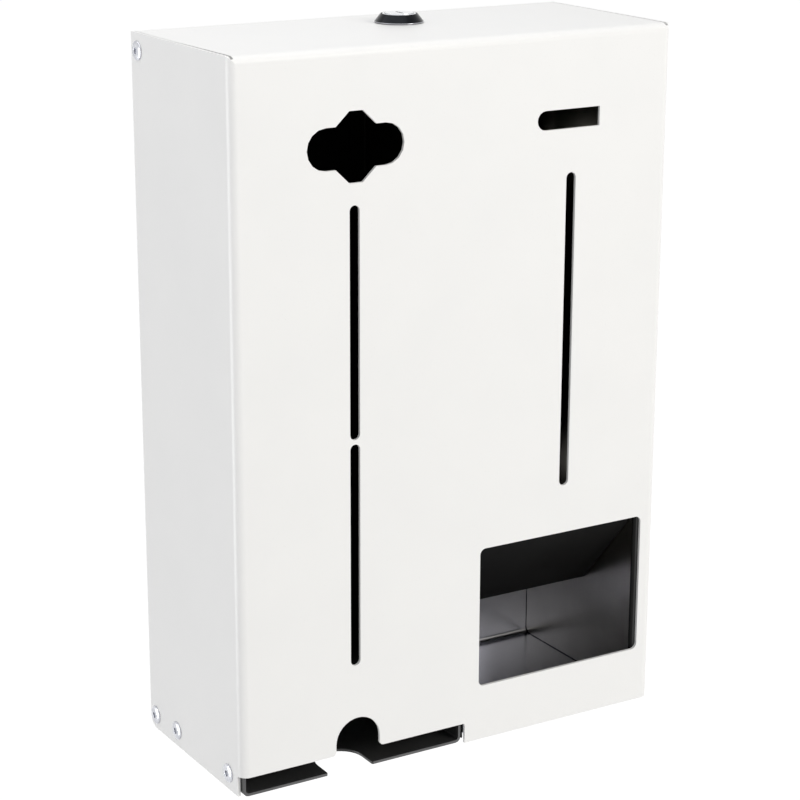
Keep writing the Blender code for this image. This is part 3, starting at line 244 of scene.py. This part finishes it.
def make_powder_group():
    """Powder coat's surface: orange peel, dust in the paint, and waves in its thickness."""
    group = bpy.data.node_groups.new("powder_surface", "ShaderNodeTree")
    face = group.interface
    face.new_socket(name="Peel Size", in_out="INPUT", socket_type="NodeSocketFloat")
    face.new_socket(name="Peel Height", in_out="INPUT", socket_type="NodeSocketFloat")
    face.new_socket(name="Normal", in_out="OUTPUT", socket_type="NodeSocketVector")
    face.new_socket(name="Thickness", in_out="OUTPUT", socket_type="NodeSocketFloat")
    face.new_socket(name="Dust", in_out="OUTPUT", socket_type="NodeSocketFloat")
    links = group.links
    given = group.nodes.new("NodeGroupInput")
    result = group.nodes.new("NodeGroupOutput")
    place = group.nodes.new("ShaderNodeTexCoord").outputs["Object"]
    peel = noise_of_size(group, given.outputs["Peel Size"], place, PEEL_DETAIL)
    peel.inputs["Roughness"].default_value = PEEL_FINENESS
    bump = group.nodes.new("ShaderNodeBump")
    bump.inputs["Strength"].default_value = 1
    links.new(given.outputs["Peel Height"], bump.inputs["Distance"])
    links.new(peel.outputs["Fac"], bump.inputs["Height"])
    links.new(bump.outputs["Normal"], result.inputs["Normal"])
    waves = group.nodes.new("ShaderNodeTexNoise")
    waves.inputs["Scale"].default_value = WAVES_PER_METRE
    waves.inputs["Detail"].default_value = WAVE_DETAIL
    links.new(place, waves.inputs["Vector"])
    links.new(waves.outputs["Fac"], result.inputs["Thickness"])
    dust = group.nodes.new("ShaderNodeTexVoronoi")
    dust.inputs["Scale"].default_value = DUST_PER_METRE
    links.new(place, dust.inputs["Vector"])
    specks = mapped(group, dust.outputs["Distance"], from_span=DUST_EDGE_TO_CORE)
    links.new(specks, result.inputs["Dust"])
    return group


powder_surface = make_powder_group()


def powder_coat(name, colour, thin_colour, dust_colour, roughness, shine):
    """Polyester powder paint: a colour that varies with its thickness, under orange peel."""
    paint = bpy.data.materials.new(name)
    paint.use_nodes = True
    tree = paint.node_tree
    shader = tree.nodes["Principled BSDF"]
    shader.inputs["Specular IOR Level"].default_value = shine
    surface = tree.nodes.new("ShaderNodeGroup")
    surface.node_tree = powder_surface
    surface.inputs["Peel Size"].default_value = PEEL_SIZE
    surface.inputs["Peel Height"].default_value = PEEL_HEIGHT
    thickness = surface.outputs["Thickness"]
    tone = mixed(tree, mapped(tree, thickness, from_span=WAVES_SEEN), thin_colour, colour)
    dusty = mixed(tree, surface.outputs["Dust"], tone, dust_colour)
    gloss = mapped(tree, thickness, to_span=(roughness - GLOSS_SPREAD, roughness + GLOSS_SPREAD))
    tree.links.new(dusty, shader.inputs["Base Color"])
    tree.links.new(gloss, shader.inputs["Roughness"])
    tree.links.new(surface.outputs["Normal"], shader.inputs["Normal"])
    return paint


def only(piece):
    """Makes one object the only one selected, and the active one."""
    bpy.ops.object.select_all(action="DESELECT")
    piece.select_set(True)
    bpy.context.view_layer.objects.active = piece


def apply_all(piece):
    """Applies a piece's modifiers, in their order."""
    only(piece)
    for modifier in list(piece.modifiers):
        bpy.ops.object.modifier_apply(modifier=modifier.name)


def softened(piece, rounding, sharp_degrees=CUT_EDGE_DEGREES):
    """Rounds a piece's sharp edges a little and shades its curves smooth."""
    edge = piece.modifiers.new("rounded_edge", "BEVEL")
    edge.width = rounding
    edge.segments = ROUNDING_STEPS
    edge.limit_method = "ANGLE"
    edge.angle_limit = math.radians(sharp_degrees)
    apply_all(piece)
    bpy.ops.object.shade_smooth_by_angle(angle=math.radians(sharp_degrees))
    even = piece.modifiers.new("even_light", "WEIGHTED_NORMAL")
    even.keep_sharp = True
    apply_all(piece)


def coated_copy(node, name, rounding):
    """A node's shape as it leaves the paint or plating, with every cut edge rounded by it."""
    piece = bpy.data.objects.new(name, nodes[node].data.copy())
    bpy.context.scene.collection.objects.link(piece)
    piece.data.materials.clear()
    only(piece)
    bpy.ops.object.mode_set(mode="EDIT")
    bpy.ops.mesh.select_all(action="SELECT")
    bpy.ops.mesh.remove_doubles(threshold=MERGE)
    bpy.ops.mesh.dissolve_limited(angle_limit=math.radians(FLAT_DEGREES))
    bpy.ops.object.mode_set(mode="OBJECT")
    softened(piece, rounding)
    return piece


white_paint = powder_coat("white_powder_coat", COAT_WHITE, COAT_WHITE_THIN, COAT_WHITE_DUST,
                          roughness=0.42, shine=0.35)
cover = coated_copy("cover_shell", "cover", PAINT_ROUNDING)
cover.data.materials.append(white_paint)
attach(cover, "cover")
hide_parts("cover_shell")


# The black sheets inside: back plate, divider, ramp and corner brackets, folded from the same
# steel and coated in black.
# The black is set darker than black powder coat, a painted shade for the ramp, which faces down.
SHADED_COAT_BLACK = (0.006, 0.006, 0.006, 1)
SHADED_COAT_BLACK_THIN = (0.009, 0.009, 0.009, 1)
SHADED_COAT_BLACK_DUST = (0.02, 0.02, 0.021, 1)
BLACK_SHEETS = (
    ("back_plate", "wall_plate"),
    ("divider", "cover"),
    ("tampon_ramp", "cover"),
    ("corner_bracket_left", "cover"),
    ("corner_bracket_right", "cover"),
)

shaded_black_paint = powder_coat("black_powder_coat", SHADED_COAT_BLACK, SHADED_COAT_BLACK_THIN, SHADED_COAT_BLACK_DUST,
                          roughness=0.45, shine=0.12)
for node, body in BLACK_SHEETS:
    sheet = coated_copy(node, "painted_" + node, PAINT_ROUNDING)
    sheet.data.materials.append(shaded_black_paint)
    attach(sheet, body)
    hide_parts(node)


# The pad tray: coated black too, in a lighter black than the other sheets, a painted light where
# light comes in through the mouth, and grey on the faces that look to the front.
LIT_TRAY_BLACK = (0.030, 0.030, 0.030, 1)
LIT_TRAY_BLACK_THIN = (0.040, 0.040, 0.040, 1)
LIT_TRAY_BLACK_DUST = (0.035, 0.035, 0.036, 1)
EDGE_GREY = (0.13, 0.13, 0.134, 1)
EDGE_GREY_THIN = (0.085, 0.085, 0.088, 1)
EDGE_GREY_DUST = (0.05, 0.05, 0.05, 1)
FACES_FRONT = -0.9

lit_tray_paint = powder_coat("pad_tray_coat_painted_light", LIT_TRAY_BLACK, LIT_TRAY_BLACK_THIN, LIT_TRAY_BLACK_DUST,
                         roughness=0.4, shine=0.3)
edge_paint = powder_coat("front_face_grey", EDGE_GREY, EDGE_GREY_THIN, EDGE_GREY_DUST,
                         roughness=0.45, shine=0.3)
pad_tray = coated_copy("pad_tray", "painted_pad_tray", PAINT_ROUNDING)
pad_tray.data.materials.append(lit_tray_paint)
pad_tray.data.materials.append(edge_paint)
# The faces that look to the front, the tray's cut edges among them, take the grey coat.
for face in pad_tray.data.polygons:
    face.material_index = 1 if face.normal.y < FACES_FRONT else 0
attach(pad_tray, "cover")
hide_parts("pad_tray")


# The zinc plated pieces: the strike bracket, the rivets, nuts and washers, and the cam with
# its screw, barrel plated in one bath and a little uneven in tone.
ZINC_PALE = (0.78, 0.80, 0.84, 1)
ZINC_DARK = (0.60, 0.62, 0.67, 1)
CLOUD_DETAIL = 4
CLOUDS_SEEN = (0.35, 0.65)
FASTENER_ROUNDING = 0.00015
ZINC_PIECES = ["strike_bracket", "strike_rivet_left", "strike_rivet_right",
               "divider_rivet_front", "divider_rivet_rear", "lock_washer", "lock_nut",
               "lock_cam", "cam_washer", "cam_screw"]
ZINC_PAIRS = ("ramp_rivet_%s_upper", "ramp_rivet_%s_lower", "hinge_nut_%s", "corner_nut_%s",
              "tray_nut_%s_front", "tray_nut_%s_rear")


def make_plating_group():
    """Uneven plating: clouds that change its tone, and more gently its polish."""
    group = bpy.data.node_groups.new("plating_clouds", "ShaderNodeTree")
    face = group.interface
    face.new_socket(name="Cloud Size", in_out="INPUT", socket_type="NodeSocketFloat")
    face.new_socket(name="Tone", in_out="OUTPUT", socket_type="NodeSocketFloat")
    face.new_socket(name="Polish", in_out="OUTPUT", socket_type="NodeSocketFloat")
    given = group.nodes.new("NodeGroupInput")
    result = group.nodes.new("NodeGroupOutput")
    place = group.nodes.new("ShaderNodeTexCoord").outputs["Object"]
    clouds = noise_of_size(group, given.outputs["Cloud Size"], place, CLOUD_DETAIL)
    tone = mapped(group, clouds.outputs["Fac"], from_span=CLOUDS_SEEN)
    group.links.new(tone, result.inputs["Tone"])
    group.links.new(clouds.outputs["Fac"], result.inputs["Polish"])
    return group


plating_clouds = make_plating_group()


def plated(name, pale, dark, roughness, spread, cloud_size):
    """Plated steel: clouds of slightly different tone and polish."""
    metal = bpy.data.materials.new(name)
    metal.use_nodes = True
    tree = metal.node_tree
    shader = tree.nodes["Principled BSDF"]
    shader.inputs["Metallic"].default_value = 1
    clouds = tree.nodes.new("ShaderNodeGroup")
    clouds.node_tree = plating_clouds
    clouds.inputs["Cloud Size"].default_value = cloud_size
    tone = mixed(tree, clouds.outputs["Tone"], dark, pale)
    polish = mapped(tree, clouds.outputs["Polish"],
                    to_span=(roughness - spread, roughness + spread))
    tree.links.new(tone, shader.inputs["Base Color"])
    tree.links.new(polish, shader.inputs["Roughness"])
    return metal


zinc = plated("bright_zinc", ZINC_PALE, ZINC_DARK,
              roughness=0.28, spread=0.08, cloud_size=0.002)
for side in ("left", "right"):
    ZINC_PIECES += [pair % side for pair in ZINC_PAIRS]
for node in ZINC_PIECES:
    piece = coated_copy(node, "plated_" + node, FASTENER_ROUNDING)
    piece.data.materials.append(zinc)
    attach(piece, nodes[node]["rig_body"])
    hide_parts(node)


# Button head screws, four a side: cold-headed steel with a domed head, a hexagon socket
# and a rolled thread, zinc plated, their zinc set darker as a painted reflection of dark
# surroundings.
SCREWS = ("hinge_pin_%s", "corner_screw_%s", "tray_screw_%s_front", "tray_screw_%s_rear")
DIMMED_SCREW_PALE = (0.66, 0.67, 0.70, 1)
DIMMED_SCREW_DARK = (0.50, 0.51, 0.55, 1)
HEAD_RADIUS = 0.00475
HEAD_HEIGHT = 0.0012
HEAD_RIM = 0.0003
HEAD_SEAT = 0.00005
CROWN_RADIUS = 0.0026
DOME_STEPS = 8
THREAD_RADIUS = 0.00248
THREAD_ROOT = 0.0021
THREAD_PITCH = 0.0008
ROOT_BELOW_CREST = 0.4 * THREAD_PITCH
NEXT_CREST_BELOW = 0.9 * THREAD_PITCH
PLAIN_SHANK = 0.0015
SOCKET_SIDES = 6
SOCKET_ACROSS = 0.003
SOCKET_DEPTH = 0.001
SOCKET_ROUNDING = 0.00012
TURNED_SIDES = 64


def settled(piece):
    """Puts a piece's place and turn into its mesh, and leaves its object at the origin."""
    only(piece)
    bpy.ops.object.transform_apply(location=True, rotation=True, scale=True)


def grown(name, rings, sides=TURNED_SIDES, closed=False):
    """A turned piece, grown ring by ring from a circle: (radius, height) down its outside."""
    radius, height = rings[0]
    bpy.ops.object.select_all(action="DESELECT")
    bpy.ops.mesh.primitive_circle_add(vertices=sides, radius=radius, location=(0, 0, height),
                                      fill_type="NOTHING" if closed else "NGON")
    piece = bpy.context.object
    piece.name = name
    settled(piece)
    bpy.ops.object.mode_set(mode="EDIT")
    bpy.ops.mesh.select_mode(type="EDGE")
    bpy.ops.mesh.select_all(action="SELECT")
    if not closed:
        bpy.ops.mesh.region_to_loop()
    for wider, lower in rings[1:]:
        bpy.ops.mesh.extrude_edges_move(TRANSFORM_OT_translate={"value": (0, 0, lower - height)})
        share = wider / radius
        bpy.ops.transform.resize(value=(share, share, 1), center_override=(0, 0, lower))
        radius, height = wider, lower
    if not closed:
        bpy.ops.mesh.edge_face_add()
    bpy.ops.mesh.select_all(action="SELECT")
    bpy.ops.mesh.remove_doubles(threshold=MERGE / 2)
    bpy.ops.mesh.normals_make_consistent(inside=False)
    bpy.ops.object.mode_set(mode="OBJECT")
    return piece


def cut_away(piece, tool):
    """Takes one shape out of another, and then throws the cutting shape away."""
    cut = piece.modifiers.new("cut", "BOOLEAN")
    cut.operation = "DIFFERENCE"
    cut.solver = "EXACT"
    cut.object = tool
    apply_all(piece)
    bpy.data.objects.remove(tool, do_unlink=True)


def button_screw(name, length):
    """A screw that stands on its seat at the origin, head up, with its shank below."""
    rings = [(CROWN_RADIUS, HEAD_HEIGHT)]
    for step in range(1, DOME_STEPS + 1):
        turn = math.pi / 2 * step / DOME_STEPS
        rings.append((CROWN_RADIUS + (HEAD_RADIUS - CROWN_RADIUS) * math.sin(turn),
                      HEAD_RIM + (HEAD_HEIGHT - HEAD_RIM) * math.cos(turn)))
    rings += [(HEAD_RADIUS, 0), (THREAD_RADIUS, 0), (THREAD_RADIUS, -PLAIN_SHANK)]
    depth = PLAIN_SHANK
    while depth + THREAD_PITCH < length:
        rings += [(THREAD_ROOT, -depth - ROOT_BELOW_CREST),
                  (THREAD_RADIUS, -depth - NEXT_CREST_BELOW),
                  (THREAD_RADIUS, -depth - THREAD_PITCH)]
        depth += THREAD_PITCH
    rings.append((THREAD_ROOT, -length))
    screw = grown(name, rings)
    bpy.ops.object.select_all(action="DESELECT")
    bpy.ops.mesh.primitive_cylinder_add(vertices=SOCKET_SIDES,
                                        radius=SOCKET_ACROSS / math.sqrt(3),
                                        depth=SOCKET_DEPTH * 2, location=(0, 0, HEAD_HEIGHT))
    cut_away(screw, bpy.context.object)
    softened(screw, SOCKET_ROUNDING)
    return screw


# The screws' zinc is darker than the plated pieces, a painted reflection of dark surroundings.
dimmed_screw_metal = plated("zinc_screw_painted_dim", DIMMED_SCREW_PALE, DIMMED_SCREW_DARK,
                     roughness=0.22, spread=0.06, cloud_size=0.0015)
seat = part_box("cover_shell")[1].x + HEAD_SEAT
for side, outward in (("left", -1), ("right", 1)):
    for kind in SCREWS:
        node = kind % side
        low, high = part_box(node)
        middle = (low + high) / 2
        inner_end = min(abs(low.x), abs(high.x))
        screw = button_screw("screw_" + node, seat - inner_end)
        screw.location = (outward * seat, middle.y, middle.z)
        screw.rotation_euler = (0, outward * math.pi / 2, 0)
        settled(screw)
        screw.data.materials.append(dimmed_screw_metal)
        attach(screw, nodes[node]["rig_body"])
        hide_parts(node)


# The hinge washers: natural nylon, stamped, milky and a little translucent, between the
# cover's sides and the back plate's flanges.
NYLON_MILKY = (0.80, 0.78, 0.72, 1)
NYLON_CLEAR = (0.72, 0.70, 0.63, 1)
NYLON_CLOUDS_PER_METRE = 300
NYLON_ROUGHNESS = 0.45
NYLON_SCATTER = 0.3
NYLON_SCATTER_DEPTH = 0.001

nylon = bpy.data.materials.new("natural_nylon")
nylon.use_nodes = True
tree = nylon.node_tree
shader = tree.nodes["Principled BSDF"]
shader.inputs["Roughness"].default_value = NYLON_ROUGHNESS
shader.inputs["Subsurface Weight"].default_value = NYLON_SCATTER
shader.inputs["Subsurface Scale"].default_value = NYLON_SCATTER_DEPTH
place = tree.nodes.new("ShaderNodeTexCoord")
milk = tree.nodes.new("ShaderNodeTexNoise")
milk.inputs["Scale"].default_value = NYLON_CLOUDS_PER_METRE
tree.links.new(place.outputs["Object"], milk.inputs["Vector"])
tree.links.new(mixed(tree, milk.outputs["Fac"], NYLON_CLEAR, NYLON_MILKY),
               shader.inputs["Base Color"])
for node in ("hinge_washer_left", "hinge_washer_right"):
    washer = coated_copy(node, "stamped_" + node, FASTENER_ROUNDING)
    washer.data.materials.append(nylon)
    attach(washer, nodes[node]["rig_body"])
    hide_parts(node)


# The cam lock in the top: a turned chrome collar, painted near black on its cone and mid grey
# round its foot as a painted reflection of dark surroundings, and in it the bright housing and
# the plug with its keyway.
COLLAR_BASE = 0.01225
COLLAR_CREST = 0.0092
COLLAR_HEIGHT = 0.0042
COLLAR_FOOT = 0.0005
COLLAR_BORE = 0.0088
COLLAR_SEAT_BORE = 0.0082
COLLAR_LEDGE = 0.001
COLLAR_EASE = 0.0001
COLLAR_SIDES = 96
COLLAR_SHARP_DEGREES = 25
PAINTED_DARK_CHROME = (0.013, 0.014, 0.016, 1)
PAINTED_DARK_CHROME_THIN = (0.016, 0.017, 0.019, 1)
PAINTED_GREY_RIM_CHROME = (0.38, 0.38, 0.40, 1)
PAINTED_GREY_RIM_CHROME_THIN = (0.33, 0.33, 0.35, 1)
CHROME = (0.80, 0.81, 0.83, 1)
CHROME_THIN = (0.74, 0.75, 0.77, 1)

low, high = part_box("lock_collar")
lock_axis = (low + high) / 2
collar = grown("lock_cone", [
    (COLLAR_BORE, COLLAR_HEIGHT - 2 * COLLAR_EASE),
    (COLLAR_BORE + COLLAR_EASE, COLLAR_HEIGHT),
    (COLLAR_CREST, COLLAR_HEIGHT),
    (COLLAR_BASE - COLLAR_EASE, COLLAR_FOOT),
    (COLLAR_BASE, COLLAR_FOOT - COLLAR_EASE),
    (COLLAR_BASE, 0),
    (COLLAR_SEAT_BORE, 0),
    (COLLAR_SEAT_BORE, COLLAR_LEDGE),
    (COLLAR_BORE, COLLAR_LEDGE),
    (COLLAR_BORE, COLLAR_HEIGHT - 2 * COLLAR_EASE)], COLLAR_SIDES, closed=True)
softened(collar, COLLAR_EASE, COLLAR_SHARP_DEGREES)
collar.location = (lock_axis.x, lock_axis.y, low.z)
settled(collar)
chrome_painted_dark = plated("chrome_painted_dark", PAINTED_DARK_CHROME, PAINTED_DARK_CHROME_THIN,
                     roughness=0.2, spread=0.02, cloud_size=0.004)
rim_chrome_painted_grey = plated("rim_chrome_painted_grey", PAINTED_GREY_RIM_CHROME, PAINTED_GREY_RIM_CHROME_THIN,
                    roughness=0.12, spread=0.02, cloud_size=0.003)
chrome = plated("chrome_plate", CHROME, CHROME_THIN,
                roughness=0.12, spread=0.03, cloud_size=0.003)
collar.data.materials.append(chrome_painted_dark)
collar.data.materials.append(rim_chrome_painted_grey)
# The cone takes the near-black chrome and the foot the mid grey, both a painted reflection.
for face in collar.data.polygons:
    face.material_index = 1 if face.center.z < low.z + COLLAR_FOOT else 0
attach(collar, "cover")
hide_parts("lock_collar")

for node in ("lock_housing", "lock_plug"):
    piece = coated_copy(node, "polished_" + node, FASTENER_ROUNDING)
    piece.data.materials.append(chrome)
    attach(piece, nodes[node]["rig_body"])
    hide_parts(node)


# The tampon tray: folded from plated sheet, bare and smooth where the goods slide.
SHEET_PALE = (0.79, 0.80, 0.87, 1)
SHEET_DARK = (0.71, 0.72, 0.79, 1)

bare_sheet = plated("plated_sheet", SHEET_PALE, SHEET_DARK,
                    roughness=0.25, spread=0.02, cloud_size=0.03)
tray = coated_copy("tampon_tray", "folded_tampon_tray", PAINT_ROUNDING)
tray.data.materials.append(bare_sheet)
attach(tray, "cover")
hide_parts("tampon_tray")


# The wall at the window's right: the same sheet, painted darker on the side that faces the goods
# as painted shade, coated in the shaded black outside, and given the pad tray's lighter black on
# the flange behind the window's edge, a painted light on the face that looks to the front.
SHADED_WALL_PALE = (0.37, 0.35, 0.31, 1)
SHADED_WALL_DARK = (0.32, 0.305, 0.265, 1)
FACES_GOODS = -0.985

shaded_sheet = plated("shaded_sheet", SHADED_WALL_PALE, SHADED_WALL_DARK,
                    roughness=0.3, spread=0.02, cloud_size=0.03)
wall = coated_copy("tampon_side_wall", "folded_side_wall", PAINT_ROUNDING)
wall.data.materials.append(shaded_black_paint)
wall.data.materials.append(shaded_sheet)
wall.data.materials.append(lit_tray_paint)
# Painted shade on the face towards the goods, painted light on the flange's front face.
for face in wall.data.polygons:
    if face.normal.x < FACES_GOODS:
        face.material_index = 1
    elif face.normal.y < FACES_FRONT:
        face.material_index = 2
    else:
        face.material_index = 0
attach(wall, "cover")
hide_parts("tampon_side_wall")
